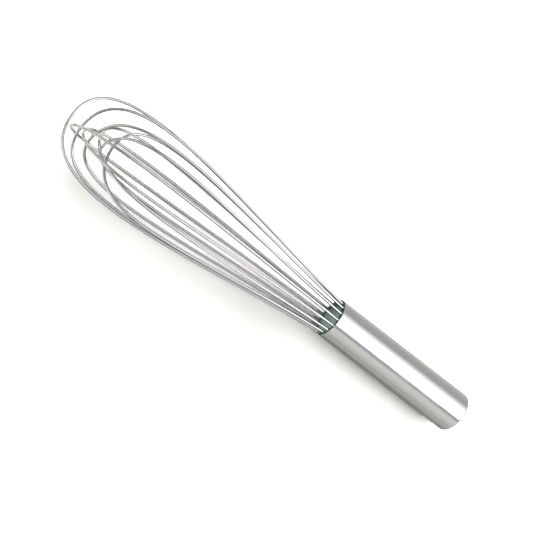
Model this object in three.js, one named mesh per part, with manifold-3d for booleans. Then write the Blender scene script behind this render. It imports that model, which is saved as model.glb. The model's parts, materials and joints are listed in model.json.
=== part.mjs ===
// A balloon whisk, lying at rest on its balloon and on the rim of its butt.
// Eight nested steel wires are set with both ends in the mouth of a drawn steel tube.
// Units are millimetres, +X runs from the handle to the balloon's tip and +Z is up.

import * as THREE from 'three';
import { mergeVertices } from 'three/addons/utils/BufferGeometryUtils.js';
import Module from 'manifold-3d';

// Handle tube: it widens evenly from the mouth to the closed, flat butt.
const HANDLE_LENGTH = 106.6;
const MOUTH_RADIUS = 12.6;
const BUTT_RADIUS = 13.2;
const BUTT_CORNER = 1.8;
const TUBE_WALL = 0.5;
const BUTT_WALL = 1;

// Wire loops: every length along the whisk is measured from the mouth of the handle.
const WIRE_RADIUS = 0.9;
const LOOP_REACH = 197.5;
const TIP_STEP = 4.3;
const FLARE_LENGTH = 102.7;
const FLARE_SLOPE = 0.107;
const CROWN_PULL = 47.2;
const CROWN_PULL_STEP = 0.52;
const EMBED_LENGTH = 34;

// What closes the mouth and holds the wire ends, from the front to the back.
const SEAL_RECESS = 0.3;
const SEAL_DEPTH = 12;
const RETAINER_THICKNESS = 2;
const ANCHOR_BEHIND_WIRES = 4;
const DAM_THICKNESS = 6;

// Room left between neighbours.
const FIT_GAP = 0.3;

// The loops from the outermost to the innermost. Each is set a number of pitches round the ring
// from the first, and each second loop crosses the one before it at a right angle. A hand-bent
// wire also turns (degrees), sways sideways and stands longer or shorter (mm) at its crown.
const LOOPS = [
  { pitches: 7, turn: -4, sway: -1, trim: 0 },
  { pitches: 3, turn: -2, sway: 3, trim: 0.5 },
  { pitches: 0, turn: -1, sway: -1, trim: 0 },
  { pitches: 4, turn: 1, sway: 3.5, trim: 1 },
  { pitches: 1, turn: 1.5, sway: 0.5, trim: 0.5 },
  { pitches: 5, turn: -6, sway: -0.5, trim: 1 },
  { pitches: 2, turn: -2.5, sway: -1, trim: 0.5 },
  { pitches: 6, turn: -2, sway: 4.5, trim: -0.5 },
];
const LEG_PITCH = Math.PI / LOOPS.length;
const FIRST_LEG_ANGLE = -LEG_PITCH * (LOOPS.length - 1) / 2;
const RING_RADIUS = MOUTH_RADIUS - TUBE_WALL - FIT_GAP - WIRE_RADIUS;

// Fineness of the faceted surfaces.
const TURN_SEGMENTS = 40;
const CORNER_SEGMENTS = 4;
const WIRE_SIDES = 8;
const WIRE_STEPS = 72;

const STEEL = { color: 0xb9bcbe, roughness: 0.3, metalness: 1 };
const BRIGHT_WIRE = { color: 0xd4d6d8, roughness: 0.18, metalness: 1 };
const SEAL_RESIN = { color: 0x6f8a80, roughness: 0.5, metalness: 0 };
const CLEAR_RESIN = { color: 0xb8a878, roughness: 0.4, metalness: 0 };
const GREY_RUBBER = { color: 0x55585a, roughness: 0.8, metalness: 0 };

const wasm = await Module();
wasm.setup();

// The tube's outer radius at a place along the whisk, where the mouth is 0 and the butt is
// -HANDLE_LENGTH.
function tubeRadius(x) {
  return MOUTH_RADIUS + (MOUTH_RADIUS - BUTT_RADIUS) * x / HANDLE_LENGTH;
}

function boreRadius(x) {
  return tubeRadius(x) - TUBE_WALL;
}

// A solid turned about the X axis from points (radius, x), given from the back to the front.
function turned(points) {
  const profile = points.map(([radius, x]) => new THREE.Vector2(radius, x));
  const geometry = new THREE.LatheGeometry(profile, TURN_SEGMENTS);
  geometry.rotateZ(-Math.PI / 2);
  return geometry;
}

// The centre line of one loop: a straight embedded stretch, a flaring leg, the crown, and the
// same again down the other side. One leg is a cubic curve that leaves the mouth along the
// flare slope and meets the whisk's axis at a right angle.
class LoopPath extends THREE.Curve {
  constructor(rank, embedLength) {
    super();
    const loop = LOOPS[rank];
    this.embed = embedLength;
    this.reach = LOOP_REACH - TIP_STEP * rank + loop.trim;
    this.pull = CROWN_PULL - CROWN_PULL_STEP * rank;
    this.angle = FIRST_LEG_ANGLE + LEG_PITCH * loop.pitches;
    this.turn = THREE.MathUtils.degToRad(loop.turn);
    this.sway = loop.sway;
    this.arcLengthDivisions = 1200;
  }

  // Distance along the whisk and from its axis, for s from 0 at the wire's end to 1 at the tip.
  legPoint(s) {
    const embeddedShare = this.embed / (this.embed + this.reach);
    if (s < embeddedShare) {
      const x = this.embed * (s / embeddedShare - 1);
      return [x, RING_RADIUS + FLARE_SLOPE * x];
    }
    const t = (s - embeddedShare) / (1 - embeddedShare);
    const k0 = (1 - t) ** 3;
    const k1 = 3 * t * (1 - t) ** 2;
    const k2 = 3 * t ** 2 * (1 - t);
    const k3 = t ** 3;
    const x = k1 * FLARE_LENGTH + (k2 + k3) * this.reach;
    const flaredRadius = RING_RADIUS + FLARE_SLOPE * FLARE_LENGTH;
    return [x, k0 * RING_RADIUS + k1 * flaredRadius + k2 * this.pull];
  }

  getPoint(u, target = new THREE.Vector3()) {
    const side = u < 0.5 ? 1 : -1;
    const [x, radius] = this.legPoint(1 - Math.abs(2 * u - 1));
    const share = Math.max(x, 0) / this.reach;
    const angle = this.angle + this.turn * share;
    const sway = this.sway * share ** 2;
    const y = side * radius * Math.sin(angle) + sway * Math.cos(angle);
    const z = side * radius * Math.cos(angle) - sway * Math.sin(angle);
    return target.set(x, y, z);
  }
}

// Round wire of a given radius along one loop.
function wireGeometry(rank, radius, embedLength) {
  const section = new THREE.Shape();
  section.absarc(0, 0, radius, 0, 2 * Math.PI);
  return new THREE.ExtrudeGeometry(section, {
    curveSegments: WIRE_SIDES / 2,
    steps: WIRE_STEPS,
    extrudePath: new LoopPath(rank, embedLength),
  });
}

function toSolid(geometry) {
  const bare = geometry.clone();
  bare.deleteAttribute('normal');
  bare.deleteAttribute('uv');
  const merged = mergeVertices(bare, 1e-4);
  return new wasm.Manifold(new wasm.Mesh({
    numProp: 3,
    vertProperties: merged.attributes.position.array,
    triVerts: new Uint32Array(merged.index.array),
  }));
}

function toGeometry(solid) {
  const mesh = solid.getMesh();
  const geometry = new THREE.BufferGeometry();
  geometry.setAttribute('position', new THREE.BufferAttribute(mesh.vertProperties, 3));
  geometry.setIndex(new THREE.BufferAttribute(mesh.triVerts, 1));
  geometry.computeVertexNormals();
  return geometry;
}

// Every loop a little fatter and longer: what is cut out of a piece that the wires pass through.
const wireRoom = LOOPS.map((loop, rank) => (
  toSolid(wireGeometry(rank, WIRE_RADIUS + FIT_GAP, EMBED_LENGTH + FIT_GAP))
));

// A disc that fills the bore between two places, notched for the wires that pass it.
function boreDisc(front, back) {
  const disc = turned([
    [0, back],
    [boreRadius(back) - FIT_GAP, back],
    [boreRadius(front) - FIT_GAP, front],
    [0, front],
  ]);
  const notched = wireRoom.reduce((solid, wire) => solid.subtract(wire), toSolid(disc));
  return toGeometry(notched);
}

// The tube: a flat butt, a rounded corner, the tapered wall, the open mouth and the bore.
function handleGeometry() {
  const points = [[0, -HANDLE_LENGTH]];
  const cornerX = BUTT_CORNER - HANDLE_LENGTH;
  const cornerRadius = tubeRadius(cornerX) - BUTT_CORNER;
  for (let step = 0; step <= CORNER_SEGMENTS; step += 1) {
    const angle = step / CORNER_SEGMENTS * Math.PI / 2;
    points.push([
      cornerRadius + BUTT_CORNER * Math.sin(angle),
      cornerX - BUTT_CORNER * Math.cos(angle),
    ]);
  }
  const boreEnd = BUTT_WALL - HANDLE_LENGTH;
  points.push([tubeRadius(0), 0]);
  points.push([boreRadius(0), 0]);
  points.push([boreRadius(cornerX), cornerX]);
  points.push([Math.min(cornerRadius, boreRadius(boreEnd)), boreEnd]);
  points.push([0, boreEnd]);
  return turned(points);
}

const whisk = new THREE.Group();

function addPiece(name, geometry, finish) {
  const piece = new THREE.Mesh(geometry, new THREE.MeshStandardMaterial(finish));
  piece.name = name;
  whisk.add(piece);
  return piece;
}

const handle = addPiece('handle_tube', handleGeometry(), STEEL);

const sealBack = -SEAL_RECESS - SEAL_DEPTH;
addPiece('mouth_seal', boreDisc(-SEAL_RECESS, sealBack), SEAL_RESIN);

const retainerFront = sealBack - FIT_GAP;
const retainerBack = retainerFront - RETAINER_THICKNESS;
addPiece('wire_retainer', boreDisc(retainerFront, retainerBack), STEEL);

const anchorFront = retainerBack - FIT_GAP;
const anchorBack = -EMBED_LENGTH - ANCHOR_BEHIND_WIRES;
addPiece('anchor_resin', boreDisc(anchorFront, anchorBack), CLEAR_RESIN);

const damFront = anchorBack - FIT_GAP;
addPiece('dam_plug', boreDisc(damFront, damFront - DAM_THICKNESS), GREY_RUBBER);

const wires = LOOPS.map((loop, rank) => (
  addPiece(`wire_loop_${rank + 1}`, wireGeometry(rank, WIRE_RADIUS, EMBED_LENGTH), BRIGHT_WIRE)
));

// How low some pieces reach when the whisk is rolled about its own axis, then tipped nose up.
function lowestPoint(pieces, roll, tilt) {
  let lowest = Infinity;
  for (const piece of pieces) {
    const place = piece.geometry.attributes.position;
    for (let i = 0; i < place.count; i += 1) {
      const rolled = place.getY(i) * Math.sin(roll) + place.getZ(i) * Math.cos(roll);
      const height = place.getX(i) * Math.sin(tilt) + rolled * Math.cos(tilt);
      lowest = Math.min(lowest, height);
    }
  }
  return lowest;
}

// The angle up to a limit, either way, at which a growing difference passes zero, by halving.
function levelAngle(difference, limit) {
  let low = -limit;
  let high = limit;
  for (let halving = 0; halving < 30; halving += 1) {
    const middle = (low + high) / 2;
    if (difference(middle) < 0) {
      low = middle;
    } else {
      high = middle;
    }
  }
  return (low + high) / 2;
}

// At rest the whisk lies on three points: the rim of its butt and the two loops whose legs are
// nearest to straight down. Rolling it levels those loops, and tipping it levels them with the butt.
const downPair = [LOOPS.length / 2 - 1, LOOPS.length / 2].map((pitches) => (
  wires[LOOPS.findIndex((loop) => loop.pitches === pitches)]
));
const STEEPEST = Math.PI / 8;
let roll = 0;
let tilt = 0;
for (let round = 0; round < 3; round += 1) {
  const tiltSoFar = tilt;
  roll = levelAngle((angle) => (
    lowestPoint([downPair[0]], angle, tiltSoFar) - lowestPoint([downPair[1]], angle, tiltSoFar)
  ), STEEPEST);
  const rollSoFar = roll;
  tilt = levelAngle((angle) => (
    lowestPoint(wires, rollSoFar, angle) - lowestPoint([handle], rollSoFar, angle)
  ), STEEPEST);
}
whisk.rotation.set(roll, -tilt, 0, 'YXZ');

// The part stands on z = 0, with the middle of its box over the origin.
const part = new THREE.Group();
part.add(whisk);
part.updateMatrixWorld(true);
const box = new THREE.Box3().setFromObject(part, true);
const middle = box.getCenter(new THREE.Vector3());
whisk.position.set(-middle.x, -middle.y, -box.min.z);

export default part;
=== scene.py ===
"""A balloon whisk: eight nested loops of steel wire whose ends are set in resin in a steel tube.

Every length is in metres. The whisk's own frame has its origin in the middle of the handle's mouth:
x runs along the axis to the tip of the balloon, and y and z are at right angles to it. in_row()
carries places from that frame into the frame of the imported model.
"""

import json
import math

import bpy
import numpy as np
from mathutils import Matrix, Quaternion, Vector


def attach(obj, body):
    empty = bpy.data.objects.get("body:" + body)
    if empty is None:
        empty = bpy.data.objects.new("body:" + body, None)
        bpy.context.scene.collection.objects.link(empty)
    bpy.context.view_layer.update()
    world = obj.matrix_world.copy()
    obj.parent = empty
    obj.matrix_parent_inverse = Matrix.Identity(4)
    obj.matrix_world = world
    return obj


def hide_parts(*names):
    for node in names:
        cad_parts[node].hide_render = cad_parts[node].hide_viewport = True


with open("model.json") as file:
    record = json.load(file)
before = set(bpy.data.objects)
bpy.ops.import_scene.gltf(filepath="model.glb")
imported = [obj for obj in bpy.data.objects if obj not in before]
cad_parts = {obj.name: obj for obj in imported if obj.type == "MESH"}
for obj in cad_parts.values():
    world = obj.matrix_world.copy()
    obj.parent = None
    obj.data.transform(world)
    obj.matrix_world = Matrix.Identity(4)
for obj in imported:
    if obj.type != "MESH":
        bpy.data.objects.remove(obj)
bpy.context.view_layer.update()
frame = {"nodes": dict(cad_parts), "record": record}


# Camera: it looks down on the whisk from beyond the balloon, rolled until the handle points down
# and to the right. A long lens keeps the near and far wires alike in size.
AIM = (0.0060, -0.0004, 0.0200)
CAMERA_DISTANCE = 0.875
CAMERA_AZIMUTH = math.radians(88.0)
CAMERA_ELEVATION = math.radians(71.6)
CAMERA_ROLL = math.radians(129.9)
LENS_MM = 101.3
SENSOR_MM = 36.0

level_reach = math.cos(CAMERA_ELEVATION)
to_camera = Vector((
    math.sin(CAMERA_AZIMUTH) * level_reach,
    -math.cos(CAMERA_AZIMUTH) * level_reach,
    math.sin(CAMERA_ELEVATION),
))
camera_data = bpy.data.cameras.new("camera")
camera_data.lens = LENS_MM
camera_data.sensor_width = SENSOR_MM
camera_data.clip_start = 0.01
camera = bpy.data.objects.new("camera", camera_data)
camera.location = Vector(AIM) + CAMERA_DISTANCE * to_camera
camera.rotation_mode = "QUATERNION"
upright_view = (-to_camera).to_track_quat("-Z", "Y")
camera.rotation_quaternion = upright_view @ Quaternion((0, 0, 1), CAMERA_ROLL)
bpy.context.collection.objects.link(camera)
bpy.context.scene.camera = camera


# Handle tube: one piece of stainless steel, drawn so that it widens a little from the mouth to the
# butt, which is closed by a flat end with a rounded edge. It is polished round its girth.
HANDLE_LENGTH = 0.1066
MOUTH_RADIUS = 0.0126
BUTT_RADIUS = 0.0132
BUTT_CORNER = 0.0018
TUBE_WALL = 0.0005
BUTT_WALL = 0.0010
LIP_ROUND = 0.00016
BORE_CORNER_GAP = 0.0002
FLAT_END_HUB = 0.3
FLAT_END_RIM = 0.94
BUTT_CORNER_STEPS = 14
HANDLE_WALL_STEPS = 14
HANDLE_TURN_STEPS = 192
WHISK_ROLL = math.radians(-3.16)

mounts = {mount["name"]: mount for mount in frame["record"]["mounts"]}
ALONG = -np.array(mounts["butt_face"]["axis"])
MOUTH = np.array(mounts["butt_face"]["pos_m"]) + HANDLE_LENGTH * ALONG
level = np.cross((0, 0, 1), ALONG)
level /= np.linalg.norm(level)
upright = np.cross(ALONG, level)
ACROSS = math.cos(WHISK_ROLL) * level + math.sin(WHISK_ROLL) * upright
ABOVE = math.cos(WHISK_ROLL) * upright - math.sin(WHISK_ROLL) * level


def in_row(x, y, z):
    """Places of the whisk's frame in the row's frame: the mouth plus a share of each axis."""
    return MOUTH + x[..., None] * ALONG + y[..., None] * ACROSS + z[..., None] * ABOVE


def tube_radius(x):
    """Outer radius of the tube at x: a straight line from the mouth at 0 to the butt."""
    return MOUTH_RADIUS + (MOUTH_RADIUS - BUTT_RADIUS) * x / HANDLE_LENGTH


def quarter_round(centre, radius, start, turn, steps=8):
    """Points (x, r) of a quarter circle about a centre, from one angle through a right angle."""
    angle = start + turn * np.linspace(0, math.pi / 2, steps)
    return np.stack([centre[0] + radius * np.cos(angle), centre[1] + radius * np.sin(angle)], 1)


def ringed_mesh(name, rings, along):
    """A closed mesh from a stack of rings: an array (rings, points round, 3).

    Each ring is joined to the next by four-sided faces, and the first and the last are closed by
    a fan to their middle. The UV map holds the distance along in metres and the turn from 0 to 1.
    """
    count, around = rings.shape[:2]
    ends = np.stack([rings[0].mean(0), rings[-1].mean(0)])
    points = np.concatenate([rings.reshape(-1, 3), ends])
    row, column = np.meshgrid(np.arange(count - 1), np.arange(around), indexing="ij")
    after = (column + 1) % around
    low, high = row * around, (row + 1) * around
    quads = np.stack([low + column, low + after, high + after, high + column], -1).reshape(-1, 4)
    edge = np.arange(around)
    first_fan = np.stack([np.full(around, count * around), (edge + 1) % around, edge], 1)
    last = (count - 1) * around
    last_fan = np.stack([np.full(around, count * around + 1), last + edge,
                         last + (edge + 1) % around], 1)
    mesh = bpy.data.meshes.new(name)
    mesh.from_pydata(points, [], quads.tolist() + first_fan.tolist() + last_fan.tolist())
    turn = np.stack([column, column + 1, column + 1, column], -1) / around
    reach = np.stack([along[row], along[row], along[row + 1], along[row + 1]], -1)
    quad_uv = np.stack([reach, turn], -1).reshape(-1, 2)
    middle, left, right = (edge + 0.5) / around, edge / around, (edge + 1) / around
    first_uv = np.stack([np.full((around, 3), along[0]), np.stack([middle, right, left], 1)], -1)
    last_uv = np.stack([np.full((around, 3), along[-1]), np.stack([middle, left, right], 1)], -1)
    uv = np.concatenate([quad_uv, first_uv.reshape(-1, 2), last_uv.reshape(-1, 2)])
    layer = mesh.uv_layers.new(name="surface")
    layer.data.foreach_set("uv", uv.astype(np.float32).ravel())
    mesh.shade_smooth()
    mesh.update()
    piece = bpy.data.objects.new(name, mesh)
    bpy.context.collection.objects.link(piece)
    return piece


def turned(name, profile, steps):
    """A solid of revolution about the whisk's axis from points (x, radius) that start and end
    on the axis side: every point is carried round a full circle of the given steps."""
    angle = np.linspace(0, 2 * math.pi, steps, endpoint=False)
    x = np.broadcast_to(profile[:, :1], (len(profile), steps))
    rings = in_row(x, profile[:, 1:] * np.sin(angle), profile[:, 1:] * np.cos(angle))
    gone = np.concatenate([[0], np.cumsum(np.linalg.norm(np.diff(profile, axis=0), axis=1))])
    return ringed_mesh(name, rings, gone)


corner_x = BUTT_CORNER - HANDLE_LENGTH
corner_r = tube_radius(corner_x) - BUTT_CORNER
bore_end = BUTT_WALL - HANDLE_LENGTH
wall_x = np.linspace(corner_x, -LIP_ROUND, HANDLE_WALL_STEPS)[1:-1]
bore_x = np.linspace(-LIP_ROUND, corner_x, HANDLE_WALL_STEPS)[1:]
handle_profile = np.concatenate([
    [[-HANDLE_LENGTH, FLAT_END_HUB * corner_r], [-HANDLE_LENGTH, FLAT_END_RIM * corner_r]],
    quarter_round((corner_x, corner_r), BUTT_CORNER, math.pi, -1, BUTT_CORNER_STEPS),
    np.stack([wall_x, tube_radius(wall_x)], 1),
    quarter_round((-LIP_ROUND, MOUTH_RADIUS - LIP_ROUND), LIP_ROUND, math.pi / 2, -1),
    quarter_round((-LIP_ROUND, MOUTH_RADIUS - TUBE_WALL + LIP_ROUND), LIP_ROUND, 0, -1),
    np.stack([bore_x, tube_radius(bore_x) - TUBE_WALL], 1),
    [[bore_end, corner_r - BORE_CORNER_GAP], [bore_end, FLAT_END_HUB * corner_r]],
])
handle = turned("handle", handle_profile, HANDLE_TURN_STEPS)


def add_node(tree, kind, inputs=None, **settings):
    """A shader node with its settings and inputs; an input is a value or another node's socket."""
    node = tree.nodes.new(kind)
    for key, value in settings.items():
        setattr(node, key, value)
    for key, value in (inputs or {}).items():
        if isinstance(value, bpy.types.NodeSocket):
            tree.links.new(value, node.inputs[key])
        else:
            node.inputs[key].default_value = value
    return node


def arithmetic(tree, operation, *values):
    """A math node on one to three values, and its result."""
    node = add_node(tree, "ShaderNodeMath", dict(enumerate(values)), operation=operation)
    return node.outputs[0]


def eased(tree, value, start, full, kind="SMOOTHSTEP"):
    """A share that goes from 0 to 1, gently at both ends unless the kind says otherwise, as the
    value goes from the start to the full one. The full one may be the smaller of the two."""
    node = add_node(tree, "ShaderNodeMapRange", {0: value, 1: start, 2: full},
                    interpolation_type=kind)
    return node.outputs[0]


def blended(tree, share, first, second):
    """A colour that goes from the first to the second as the share goes from 0 to 1."""
    node = tree.nodes.new("ShaderNodeMix")
    node.data_type = "RGBA"
    for socket, value in zip((node.inputs[0], node.inputs[6], node.inputs[7]),
                             (share, first, second)):
        if isinstance(value, bpy.types.NodeSocket):
            tree.links.new(value, socket)
        else:
            socket.default_value = value
    return node.outputs[2]


def new_material(name):
    """An empty material with a Principled shader: the material, its tree and the shader."""
    material = bpy.data.materials.new(name)
    material.use_nodes = True
    tree = material.node_tree
    tree.nodes.clear()
    shader = add_node(tree, "ShaderNodeBsdfPrincipled")
    output = add_node(tree, "ShaderNodeOutputMaterial")
    tree.links.new(shader.outputs[0], output.inputs["Surface"])
    return material, tree, shader


def steel_grain_group():
    """The marks that drawing and polishing leave on round steel, built once for tube and wire.

    The surface UV (distance along, turn) becomes a place on a ring, so that nothing shows where
    the turn closes. Noise stretched along or round that ring gives the polishing lines, a
    finer and longer one gives stray scratches, and a broad one gives cloudy handling marks.
    """
    group = bpy.data.node_groups.new("steel_grain", "ShaderNodeTree")
    for label, kind in (("UV", "NodeSocketVector"), ("Lines Along", "NodeSocketFloat"),
                        ("Lines Round", "NodeSocketFloat"), ("Ring Radius", "NodeSocketFloat"),
                        ("Depth", "NodeSocketFloat")):
        group.interface.new_socket(label, in_out="INPUT", socket_type=kind)
    for label, kind in (("Lines", "NodeSocketFloat"), ("Scratches", "NodeSocketFloat"),
                        ("Handling", "NodeSocketFloat"), ("Normal", "NodeSocketVector")):
        group.interface.new_socket(label, in_out="OUTPUT", socket_type=kind)
    given = group.nodes.new("NodeGroupInput").outputs
    result = group.nodes.new("NodeGroupOutput").inputs
    uv = add_node(group, "ShaderNodeSeparateXYZ", {0: given["UV"]}).outputs
    angle = arithmetic(group, "MULTIPLY", uv[1], 2 * math.pi)
    ring_y = arithmetic(group, "MULTIPLY", arithmetic(group, "SINE", angle), given["Ring Radius"])
    ring_z = arithmetic(group, "MULTIPLY", arithmetic(group, "COSINE", angle), given["Ring Radius"])

    def ring_noise(along, across, detail, roughness):
        """Noise on the ring, at so many cells a metre along it and across it."""
        place = add_node(group, "ShaderNodeCombineXYZ", {
            0: arithmetic(group, "MULTIPLY", uv[0], along),
            1: arithmetic(group, "MULTIPLY", ring_y, across),
            2: arithmetic(group, "MULTIPLY", ring_z, across),
        })
        return add_node(group, "ShaderNodeTexNoise", {
            "Vector": place.outputs[0], "Scale": 1.0, "Detail": detail, "Roughness": roughness,
        }).outputs["Fac"]

    stray_along = arithmetic(group, "MULTIPLY", given["Lines Along"], 0.11)
    stray_round = arithmetic(group, "MULTIPLY", given["Lines Round"], 9.0)
    lines = ring_noise(given["Lines Along"], given["Lines Round"], detail=6.0, roughness=0.62)
    stray = ring_noise(stray_along, stray_round, detail=3.0, roughness=0.5)
    clouds = ring_noise(along=55.0, across=55.0, detail=3.0, roughness=0.55)
    scratches = eased(group, stray, start=0.62, full=0.70)
    handling = eased(group, clouds, start=0.38, full=0.68)
    height = arithmetic(group, "SUBTRACT", lines, arithmetic(group, "MULTIPLY", scratches, 0.25))
    bump = add_node(group, "ShaderNodeBump", {
        "Strength": given["Depth"], "Distance": 0.00001, "Height": height,
    })
    for label, socket in (("Lines", lines), ("Scratches", scratches), ("Handling", handling),
                          ("Normal", bump.outputs[0])):
        group.links.new(socket, result[label])
    return group


steel_grain = steel_grain_group()


def steel_material(name, dark, light, edge, smooth, rough, grain):
    """Bare steel: polishing lines shift its colour, and they and handling marks its roughness, a
    little between two values; its own grain bends the reflections, and its edge colour dims grazing
    ones."""
    material, tree, shader = new_material(name)
    uv = add_node(tree, "ShaderNodeUVMap", uv_map="surface")
    marks = add_node(tree, "ShaderNodeGroup", node_tree=steel_grain)
    tree.links.new(uv.outputs[0], marks.inputs["UV"])
    for label, value in grain.items():
        marks.inputs[label].default_value = value
    lines, handling = marks.outputs["Lines"], marks.outputs["Handling"]
    tree.links.new(blended(tree, lines, dark, light), shader.inputs["Base Color"])
    wear = arithmetic(tree, "ADD", arithmetic(tree, "MULTIPLY", lines, 0.6),
                      arithmetic(tree, "MULTIPLY", handling, 0.4))
    roughness = add_node(tree, "ShaderNodeMapRange", {0: wear, 1: 0.2, 2: 0.8, 3: smooth, 4: rough})
    tree.links.new(roughness.outputs[0], shader.inputs["Roughness"])
    tree.links.new(marks.outputs["Normal"], shader.inputs["Normal"])
    shader.inputs["Specular Tint"].default_value = edge
    shader.inputs["Metallic"].default_value = 1.0
    return material


handle.data.materials.append(steel_material(
    "polished_tube_steel", dark=(0.60, 0.605, 0.592, 1), light=(0.70, 0.705, 0.69, 1),
    edge=(1, 1, 1, 1), smooth=0.14, rough=0.22,
    grain={"Lines Along": 9000.0, "Lines Round": 60.0, "Ring Radius": MOUTH_RADIUS, "Depth": 0.12},
))
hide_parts("handle_tube")
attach(handle, "root")


# Wire loops: eight lengths of bright drawn stainless wire, bent by hand over a former. Both ends
# of each stand in the handle, and each loop stops a few millimetres inside the one before it.
WIRE_RADIUS = 0.0009
FIT_GAP = 0.0003
LOOP_REACH = 0.1975
TIP_STEP = 0.0043
FLARE_LENGTH = 0.1027
FLARE_SLOPE = 0.107
CROWN_PULL = 0.0472
CROWN_PULL_STEP = 0.00052
EMBED_LENGTH = 0.034
RING_RADIUS = MOUTH_RADIUS - TUBE_WALL - FIT_GAP - WIRE_RADIUS
WIRE_SIDES = 24
WIRE_STEPS = 420
WIRE_MEASURING_STEPS = 4000

# Each loop's place on the ring in pitches, its turn in degrees, and its sway and the trim of its
# reach in metres, from the outermost loop to the innermost. The last three come from a
# least-squares fit and are rounded, as are the sizes of the curve above and the camera.
LOOPS = [
    {"pitches": 7, "turn": -4.0, "sway": -0.0010, "trim": 0.0},
    {"pitches": 3, "turn": -2.0, "sway": 0.0030, "trim": 0.0005},
    {"pitches": 0, "turn": -1.0, "sway": -0.0010, "trim": 0.0},
    {"pitches": 4, "turn": 1.0, "sway": 0.0035, "trim": 0.0010},
    {"pitches": 1, "turn": 1.5, "sway": 0.0005, "trim": 0.0005},
    {"pitches": 5, "turn": -6.0, "sway": -0.0005, "trim": 0.0010},
    {"pitches": 2, "turn": -2.5, "sway": -0.0010, "trim": 0.0005},
    {"pitches": 6, "turn": -2.0, "sway": 0.0045, "trim": -0.0005},
]
LEG_PITCH = math.pi / len(LOOPS)
FIRST_LEG_ANGLE = -LEG_PITCH * (len(LOOPS) - 1) / 2


def loop_centre(rank, u):
    """The centre line of one loop for u from 0 to 1, as x, y and z.

    From either end a straight stretch runs up through the handle along the flare. A cubic curve
    then leaves the mouth along that flare and meets the axis at a right angle at the crown. The
    loop's plane turns, and its crown sways sideways, with the distance from the mouth.
    """
    loop = LOOPS[rank]
    reach = LOOP_REACH - TIP_STEP * rank + loop["trim"]
    side = np.where(u < 0.5, 1.0, -1.0)
    s = 1 - np.abs(2 * u - 1)
    embedded = EMBED_LENGTH / (EMBED_LENGTH + reach)
    t = np.clip((s - embedded) / (1 - embedded), 0, 1)
    k0, k1, k2, k3 = (1 - t) ** 3, 3 * t * (1 - t) ** 2, 3 * t ** 2 * (1 - t), t ** 3
    under = EMBED_LENGTH * np.minimum(s / embedded - 1, 0)
    x = under + k1 * FLARE_LENGTH + (k2 + k3) * reach
    flared = RING_RADIUS + FLARE_SLOPE * FLARE_LENGTH
    pull = CROWN_PULL - CROWN_PULL_STEP * rank
    radius = k0 * (RING_RADIUS + FLARE_SLOPE * under) + k1 * flared + k2 * pull
    share = np.maximum(x, 0) / reach
    angle = FIRST_LEG_ANGLE + LEG_PITCH * loop["pitches"] + math.radians(loop["turn"]) * share
    sway = loop["sway"] * share ** 2
    y = side * radius * np.sin(angle) + sway * np.cos(angle)
    z = side * radius * np.cos(angle) - sway * np.sin(angle)
    return np.stack([x, y, z], 1), angle


def wire_mesh(rank):
    """Round wire along a loop: at even steps of its length a circle stands at right angles to the
    centre line, measured from the normal of the loop's own plane so that it never twists."""
    measured = np.linspace(0, 1, WIRE_MEASURING_STEPS + 1)
    fine = loop_centre(rank, measured)[0]
    gone = np.concatenate([[0], np.cumsum(np.linalg.norm(np.diff(fine, axis=0), axis=1))])
    along = np.linspace(0, gone[-1], WIRE_STEPS + 1)
    u = np.interp(along, gone, measured)
    centre, angle = loop_centre(rank, u)
    tangent = np.gradient(centre, axis=0)
    tangent /= np.linalg.norm(tangent, axis=1, keepdims=True)
    plane_normal = np.stack([0 * angle, np.cos(angle), -np.sin(angle)], 1)
    outward = np.cross(tangent, plane_normal)
    outward /= np.linalg.norm(outward, axis=1, keepdims=True)
    sideways = np.cross(outward, tangent)
    turn = np.linspace(0, 2 * math.pi, WIRE_SIDES, endpoint=False)[None, :, None]
    ring = np.cos(turn) * outward[:, None] + np.sin(turn) * sideways[:, None]
    places = centre[:, None] + WIRE_RADIUS * ring
    rings = in_row(places[..., 0], places[..., 1], places[..., 2])
    return ringed_mesh(f"wire_{rank + 1}", rings, along)


wire_steel = steel_material(
    "bright_drawn_wire", dark=(0.315, 0.325, 0.316, 1), light=(0.405, 0.418, 0.406, 1),
    edge=(0.8, 0.8, 0.8, 1), smooth=0.07, rough=0.13,
    grain={"Lines Along": 60.0, "Lines Round": 9000.0, "Ring Radius": WIRE_RADIUS, "Depth": 0.10},
)
for rank in range(len(LOOPS)):
    wire = wire_mesh(rank)
    wire.data.materials.append(wire_steel)
    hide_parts(f"wire_loop_{rank + 1}")
    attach(wire, "root")


# Mouth seal: grey-green resin poured into the mouth round the sixteen wire ends. It creeps up
# the wires and shrinks back from the steel of the tube as it sets.
SEAL_RECESS = 0.0003
SEAL_DEPTH = 0.0120
SEAL_EDGE_GAP = 0.00012
SEAL_DISH = 0.0003
WIRE_CREEP = 0.00030
WIRE_CREEP_WIDTH = 0.00040
EDGE_FALL = 0.0010
EDGE_FALL_WIDTH = 0.0005
SEAL_BACK_HUB = 0.004
SEAL_FINE_RADIUS = 0.0085
SEAL_FINE_RINGS = 46
SEAL_FACE_HUB = 0.0004
SEAL_FACE_RINGS = 24
SEAL_TURN_STEPS = 384

# Painted light and shade of the resin's face: its middle value, what a metre to the left or upwards
# adds as painted light, its least value away from edges, and how far the painted shade at the wall
# and at a wire and the painted shadow to the left of a wire reach.
MIDDLE_PAINTED_LIGHTNESS = 0.66
PAINTED_LIGHTER_LEFTWARD = 30.0
PAINTED_LIGHTER_UPWARD = 20.0
LEAST_PAINTED_LIGHTNESS = 0.25
PAINTED_SHADE_AT_WALL = 0.0012
PAINTED_SHADE_AT_WIRE = 0.0005
PAINTED_SHADOW_LENGTH = 0.0018
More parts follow.
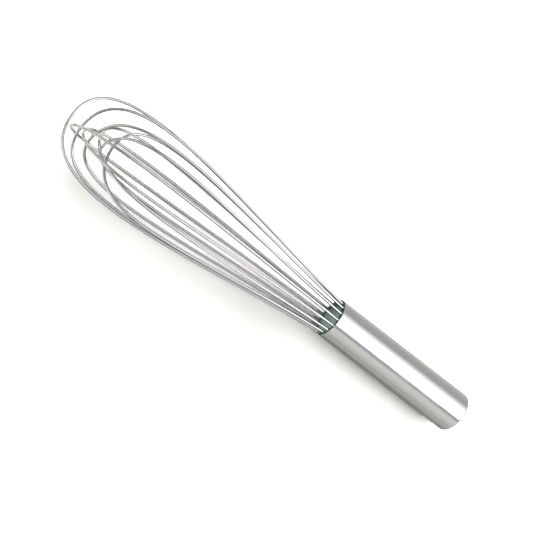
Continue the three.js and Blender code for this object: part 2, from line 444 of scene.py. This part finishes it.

# Colours of the resin under its painted light and shade, from the painted shade in the crevice to the
# lit face, and the stretches of that shading over which one goes into the next.
RESIN_PAINTED_SHADE = (0.01, 0.012, 0.014, 1)
RESIN_DEEP = (0.13, 0.22, 0.24, 1)
RESIN_PALE = (0.68, 0.88, 0.80, 1)
PAINTED_SHADE_TO_DEEP = (0.0, 0.35)
DEEP_TO_PALE = (0.25, 0.95)
MOTTLE_SCALE = 420.0
MOTTLE_SHARE = 0.3

leg_angles = FIRST_LEG_ANGLE + LEG_PITCH * np.arange(2 * len(LOOPS))


def seal_front(y, z):
    """How far the resin's face stands along the axis at a place in the mouth: a shallow dish,
    raised round each wire and falling away at the wall, each by a decaying exponential."""
    radius = np.hypot(y, z)
    bore = MOUTH_RADIUS - TUBE_WALL
    x = -SEAL_RECESS - SEAL_DISH * (1 - (radius / bore) ** 2)
    leg_y, leg_z = RING_RADIUS * np.sin(leg_angles), RING_RADIUS * np.cos(leg_angles)
    to_wire = np.hypot(y[..., None] - leg_y, z[..., None] - leg_z).min(-1) - WIRE_RADIUS
    x += WIRE_CREEP * np.exp(-np.maximum(to_wire, 0) / WIRE_CREEP_WIDTH)
    return x - EDGE_FALL * np.exp(-(bore - radius) / EDGE_FALL_WIDTH)


def seal_painted_lightness(y, z):
    """How light the resin's face is painted at a place, from 0 to 1, as painted light and shade.

    The painted light grows upwards and to the left. Painted shade makes it nearly black in the
    crevice by the wall and close to each wire, and a painted shadow lies along a short streak to the
    left of each wire, each by a decaying exponential.
    """
    open_face = MIDDLE_PAINTED_LIGHTNESS + PAINTED_LIGHTER_LEFTWARD * y + PAINTED_LIGHTER_UPWARD * z
    wall = (MOUTH_RADIUS - TUBE_WALL - np.hypot(y, z)) / PAINTED_SHADE_AT_WALL
    leg_y, leg_z = RING_RADIUS * np.sin(leg_angles), RING_RADIUS * np.cos(leg_angles)
    along_painted_shadow = np.clip(y[..., None] - leg_y, 0, PAINTED_SHADOW_LENGTH)
    to_painted_shadow = np.hypot(y[..., None] - leg_y - along_painted_shadow, z[..., None] - leg_z).min(-1)
    wire = np.maximum(to_painted_shadow - WIRE_RADIUS, 0) / PAINTED_SHADE_AT_WIRE
    off_wall, off_wire = 1 - np.exp(-np.maximum(wall, 0)), 1 - np.exp(-wire)
    return np.clip(open_face, LEAST_PAINTED_LIGHTNESS, 1) * off_wall * off_wire


seal_radius = MOUTH_RADIUS - TUBE_WALL - SEAL_EDGE_GAP
seal_back = -SEAL_RECESS - SEAL_DEPTH
face_radii = np.concatenate([
    np.linspace(seal_radius, SEAL_FINE_RADIUS, SEAL_FINE_RINGS),
    np.linspace(SEAL_FINE_RADIUS, SEAL_FACE_HUB, SEAL_FACE_RINGS)[1:],
])
seal_turn = np.linspace(0, 2 * math.pi, SEAL_TURN_STEPS, endpoint=False)
face_y = face_radii[:, None] * np.sin(seal_turn)
face_z = face_radii[:, None] * np.cos(seal_turn)
side_radii = np.array([SEAL_BACK_HUB, seal_radius, seal_radius])[:, None]
side_x = np.array([seal_back, seal_back, seal_back / 2])[:, None]
seal_rings = np.concatenate([
    in_row(side_x + 0 * seal_turn, side_radii * np.sin(seal_turn), side_radii * np.cos(seal_turn)),
    in_row(seal_front(face_y, face_z), face_y, face_z),
])
seal_along = np.concatenate([side_radii[:, 0], face_radii])
seal = ringed_mesh("mouth_resin", seal_rings, seal_along)

# The face's colour carries painted light and shade: lighter upwards and to the left, painted shade at
# the wall and round each wire, and a painted shadow to the left of each wire.
painted_lightness = np.zeros((len(seal_rings), SEAL_TURN_STEPS))
painted_lightness[len(side_radii):] = seal_painted_lightness(face_y, face_z)
seal_shade = seal.data.attributes.new("painted_lightness", "FLOAT", "POINT")
seal_shade.data.foreach_set("value", np.append(painted_lightness, [0.0, 0.5]).astype(np.float32))

resin, resin_tree, resin_shader = new_material("grey_green_resin")
place = add_node(resin_tree, "ShaderNodeTexCoord").outputs["Object"]
mottle = add_node(resin_tree, "ShaderNodeTexNoise", {
    "Vector": place, "Scale": MOTTLE_SCALE, "Detail": 4.0, "Roughness": 0.6,
}).outputs["Fac"]
# The attribute brings in the painted light and shade, from near black to the lit face.
pale = add_node(resin_tree, "ShaderNodeAttribute", attribute_name="painted_lightness").outputs["Fac"]
drift = arithmetic(resin_tree, "MULTIPLY_ADD", mottle, MOTTLE_SHARE, -MOTTLE_SHARE / 2)
cloudy = arithmetic(resin_tree, "ADD", pale, drift)
deep = eased(resin_tree, cloudy, *PAINTED_SHADE_TO_DEEP, kind="LINEAR")
bright = eased(resin_tree, cloudy, *DEEP_TO_PALE, kind="LINEAR")
deep_resin = blended(resin_tree, deep, RESIN_PAINTED_SHADE, RESIN_DEEP)
resin_colour = blended(resin_tree, bright, deep_resin, RESIN_PALE)
resin_tree.links.new(resin_colour, resin_shader.inputs["Base Color"])
resin_bump = add_node(resin_tree, "ShaderNodeBump", {
    "Strength": 0.25, "Distance": 0.0001, "Height": mottle,
})
resin_tree.links.new(resin_bump.outputs[0], resin_shader.inputs["Normal"])
resin_shader.inputs["Roughness"].default_value = 0.38
seal.data.materials.append(resin)
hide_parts("mouth_seal")
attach(seal, "root")


# Inside the handle: the drilled steel retainer, the anchor resin behind it and the rubber plug
# that kept the resin out of the hollow end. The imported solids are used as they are.
def speckled_material(name, dark, light, scale, roughness, metallic):
    """A plain finish whose colour goes between two values with a fine noise."""
    material, tree, shader = new_material(name)
    coordinates = add_node(tree, "ShaderNodeTexCoord").outputs["Object"]
    noise = add_node(tree, "ShaderNodeTexNoise", {
        "Vector": coordinates, "Scale": scale, "Detail": 3.0,
    }).outputs["Fac"]
    tree.links.new(blended(tree, noise, dark, light), shader.inputs["Base Color"])
    shader.inputs["Roughness"].default_value = roughness
    shader.inputs["Metallic"].default_value = metallic
    return material


inner_finishes = {
    "wire_retainer": speckled_material(
        "mill_sheet_steel", dark=(0.42, 0.42, 0.41, 1), light=(0.55, 0.55, 0.54, 1),
        scale=900.0, roughness=0.35, metallic=1.0),
    "anchor_resin": speckled_material(
        "amber_resin", dark=(0.36, 0.25, 0.10, 1), light=(0.46, 0.33, 0.15, 1),
        scale=250.0, roughness=0.30, metallic=0.0),
    "dam_plug": speckled_material(
        "matt_rubber", dark=(0.012, 0.012, 0.013, 1), light=(0.022, 0.022, 0.024, 1),
        scale=1200.0, roughness=0.80, metallic=0.0),
}
for node, finish in inner_finishes.items():
    solid = frame["nodes"][node]
    solid.data.materials.clear()
    solid.data.materials.append(finish)


# The studio: a pale floor, a broad window lamp at one side that lights matt surfaces and casts the
# shadow, and three long panels seen only in reflections. The floor and the room are grey in
# reflections, the floor with patches of painted light and painted shade, and white or nearly so in
# plain view, where a painted shadow lies beside the wires.
FLOOR_SIZE = 6.0

# The floor in plain view: its colour, which is above 1 so that it shows as nearly white, a darker
# patch of painted shadow that deepens the cast shadow beside the wires, and plain white far away.
FLOOR_SHOWN = (1.93, 1.96, 1.87, 1)
FLOOR_PAINTED_SHADOW = (1.48, 1.505, 1.43, 1)
PAINTED_SHADOW_ALONG = ((-0.065, -0.015), (0.155, 0.115))
PAINTED_SHADOW_ACROSS = ((0.010, 0.026), (0.060, 0.034))
WHITE_FROM = (0.25, 0.45)

# The floor as it lights the whisk and as reflections show it, with painted light close on its right
# and painted shade further right, and the stretches, in metres along the whisk or to its left, over
# which one colour goes into the next.
FLOOR_COLOUR = (0.63, 0.635, 0.615, 1)
FLOOR_PAINTED_LIGHT = (0.72, 0.72, 0.705, 1)
PAINTED_LIGHT_ON_RIGHT = (-0.045, -0.015)
FLOOR_PAINTED_SHADE = (0.48, 0.485, 0.485, 1)
PAINTED_SHADE_ON_RIGHT = (-0.030, -0.100)

# Patches only in reflections: painted shade left of the handle, painted light at the tip, and plain
# grey far away.
FLOOR_SHADED = (0.42, 0.425, 0.385, 1)
SHADE_BEGINS = (0.004, 0.018)
SHADE_ENDS = (0.018, 0.110)
SHADE_ALONG = (0.08, 0.0)
FLOOR_AT_TIP = (1.90, 1.90, 1.83, 1)
TIP_ALONG = (0.07, 0.13)
FLOOR_MIRRORED_FAR = (0.50, 0.50, 0.49, 1)
GREY_FROM = (0.40, 1.00)

# The room: its light on matt surfaces, and its colour in reflections low, high and past the tip.
ROOM_LIGHT = (0.04, 0.04, 0.04, 1)
ROOM_LOW = (0.50, 0.50, 0.49, 1)
ROOM_HIGH = (0.44, 0.44, 0.465, 1)
ROOM_RISE = (0.03, 0.50)
ROOM_FRONT = (0.74, 0.74, 0.73, 1)
ROOM_FRONT_LEFT = (2.20, 2.20, 2.14, 1)
ROOM_TO_FRONT = (0.0, 0.40)
ROOM_TO_LEFT = (-0.20, 0.50)

floor_mesh = bpy.data.meshes.new("floor")
half = FLOOR_SIZE / 2
floor_mesh.from_pydata([(-half, -half, 0), (half, -half, 0), (half, half, 0), (-half, half, 0)],
                       [], [(0, 1, 2, 3)])
floor = bpy.data.objects.new("floor", floor_mesh)
bpy.context.collection.objects.link(floor)

floor_material = bpy.data.materials.new("pale_floor")
floor_material.use_nodes = True
floor_tree = floor_material.node_tree
floor_tree.nodes.clear()
floor_rays = add_node(floor_tree, "ShaderNodeLightPath").outputs
shown, mirrored = floor_rays["Is Camera Ray"], floor_rays["Is Glossy Ray"]
floor_place = add_node(floor_tree, "ShaderNodeTexCoord").outputs["Object"]
towards_tip, leftward = add_node(floor_tree, "ShaderNodeSeparateXYZ", {0: floor_place}).outputs[:2]

# Painted light close on the right and painted shade further right, in the floor's colour.
close_right = eased(floor_tree, leftward, *PAINTED_LIGHT_ON_RIGHT)
far_right = eased(floor_tree, leftward, *PAINTED_SHADE_ON_RIGHT)
near_floor = blended(floor_tree, close_right, FLOOR_COLOUR, FLOOR_PAINTED_LIGHT)
right_floor = blended(floor_tree, far_right, near_floor, FLOOR_PAINTED_SHADE)

shade_across = arithmetic(floor_tree, "SUBTRACT", eased(floor_tree, leftward, *SHADE_BEGINS),
                          eased(floor_tree, leftward, *SHADE_ENDS, kind="SMOOTHERSTEP"))
shade = arithmetic(floor_tree, "MULTIPLY", eased(floor_tree, towards_tip, *SHADE_ALONG), shade_across)
mirrored_shade = arithmetic(floor_tree, "MULTIPLY", shade, mirrored)
side_floor = blended(floor_tree, mirrored_shade, right_floor, FLOOR_SHADED)
at_tip = eased(floor_tree, towards_tip, *TIP_ALONG)
mirrored_tip = arithmetic(floor_tree, "MULTIPLY", at_tip, mirrored)
floor_light = blended(floor_tree, mirrored_tip, side_floor, FLOOR_AT_TIP)

# Painted shadow: the product of four eased stretches marks the patch beside the wires.
painted_shadow_share = 1.0
for coordinate, stretches in ((towards_tip, PAINTED_SHADOW_ALONG), (leftward, PAINTED_SHADOW_ACROSS)):
    for stretch in stretches:
        painted_shadow_share = arithmetic(floor_tree, "MULTIPLY", painted_shadow_share,
                                  eased(floor_tree, coordinate, *stretch))
shown_floor = blended(floor_tree, painted_shadow_share, FLOOR_SHOWN, FLOOR_PAINTED_SHADOW)

matt = add_node(floor_tree, "ShaderNodeBsdfDiffuse", {
    "Color": blended(floor_tree, shown, floor_light, shown_floor),
})
grey = add_node(floor_tree, "ShaderNodeEmission", {"Color": FLOOR_MIRRORED_FAR, "Strength": 1.0})
white = add_node(floor_tree, "ShaderNodeEmission", {"Color": (1, 1, 1, 1), "Strength": 1.0})
distance_out = add_node(floor_tree, "ShaderNodeVectorMath", {0: floor_place},
                        operation="LENGTH").outputs["Value"]
mirrored_end = add_node(floor_tree, "ShaderNodeMixShader", {
    0: arithmetic(floor_tree, "MULTIPLY", eased(floor_tree, distance_out, *GREY_FROM), mirrored),
    1: matt.outputs[0], 2: grey.outputs[0],
})
far_floor = add_node(floor_tree, "ShaderNodeMixShader", {
    0: arithmetic(floor_tree, "MULTIPLY", eased(floor_tree, distance_out, *WHITE_FROM), shown),
    1: mirrored_end.outputs[0], 2: white.outputs[0],
})
add_node(floor_tree, "ShaderNodeOutputMaterial", {"Surface": far_floor.outputs[0]})
floor_mesh.materials.append(floor_material)

world = bpy.data.worlds.new("room")
bpy.context.scene.world = world
world.use_nodes = True
room = world.node_tree
room.nodes.clear()
direction = add_node(room, "ShaderNodeTexCoord").outputs["Generated"]
forward, left, height = add_node(room, "ShaderNodeSeparateXYZ", {0: direction}).outputs
room_rays = add_node(room, "ShaderNodeLightPath").outputs
behind = blended(room, eased(room, height, *ROOM_RISE), ROOM_LOW, ROOM_HIGH)
in_front = blended(room, eased(room, left, *ROOM_TO_LEFT), ROOM_FRONT, ROOM_FRONT_LEFT)
mirrored_room = blended(room, eased(room, forward, *ROOM_TO_FRONT), behind, in_front)
room_colour = blended(room, room_rays["Is Glossy Ray"], ROOM_LIGHT, mirrored_room)
sky = blended(room, room_rays["Is Camera Ray"], room_colour, (1, 1, 1, 1))
background = add_node(room, "ShaderNodeBackground", {"Color": sky, "Strength": 1.0})
add_node(room, "ShaderNodeOutputWorld", {"Surface": background.outputs[0]})


PANEL_DISTANCE = 0.80
PANEL_END_FADE = 0.22


def soft_panel(name, turns, shift, width, radiance, colour, fades, lit, distance=PANEL_DISTANCE):
    """A flat light that lies along the whisk and faces its axis, its middle shifted along it.

    It spans the turns round the axis from the first to the second, in degrees from straight up
    towards the left. Its light fades out over a share of the span at either edge, and over the
    last stretch of its length at one end. An area light of power P and area A shines with a
    radiance of P / (pi A). It lights matt surfaces or shows in glossy ones, as listed.
    """
    middle = math.radians(sum(turns) / 2)
    span = 2 * distance * math.tan(math.radians(turns[1] - turns[0]) / 2)
    data = bpy.data.lights.new(name, "AREA")
    data.shape = "RECTANGLE"
    data.size, data.size_y = width, span
    data.energy = math.pi * width * span * radiance
    data.color = colour
    data.use_nodes = True
    tree = data.node_tree
    tree.nodes.clear()
    across = add_node(tree, "ShaderNodeNewGeometry").outputs["Parametric"]
    far, share = add_node(tree, "ShaderNodeSeparateXYZ", {0: across}).outputs[:2]
    edges = arithmetic(tree, "MULTIPLY", eased(tree, share, 0.0, fades[0]),
                       eased(tree, share, 1.0, 1.0 - fades[1]))
    ending = eased(tree, far, 1.0, 1.0 - PANEL_END_FADE)
    light = add_node(tree, "ShaderNodeEmission", {
        "Strength": arithmetic(tree, "MULTIPLY", ending, edges),
    })
    add_node(tree, "ShaderNodeOutputLight", {"Surface": light.outputs[0]})
    outward = math.cos(middle) * upright + math.sin(middle) * level
    panel = bpy.data.objects.new(name, data)
    turned_axes = Matrix([ALONG, np.cross(outward, ALONG), outward]).transposed()
    panel.rotation_mode = "QUATERNION"
    panel.rotation_quaternion = turned_axes.to_quaternion()
    panel.location = MOUTH + shift * ALONG + distance * outward
    panel.visible_camera = False
    panel.visible_glossy = "glossy" in lit
    panel.visible_diffuse = "matt" in lit
    bpy.context.collection.objects.link(panel)


soft_panel("key", turns=(-77, 13), shift=-0.70, width=2.20, radiance=2.5,
           colour=(0.93, 0.95, 1.0), fades=(0.75, 0.03), lit=("glossy",))
soft_panel("core", turns=(-32, 5), shift=-1.08, width=2.00, radiance=4.4,
           colour=(0.98, 1.0, 1.0), fades=(0.40, 0.15), lit=("glossy",),
           distance=PANEL_DISTANCE - 0.01)
soft_panel("card", turns=(27, 100), shift=-0.70, width=2.20, radiance=0.44,
           colour=(0.99, 1.0, 0.87), fades=(0.09, 0.75), lit=("glossy",))
soft_panel("window", turns=(-80, 4), shift=0.00, width=2.40, radiance=2.1,
           colour=(1.0, 1.0, 1.0), fades=(0.01, 0.10), lit=("matt",))

bpy.context.scene.view_settings.view_transform = "Standard"
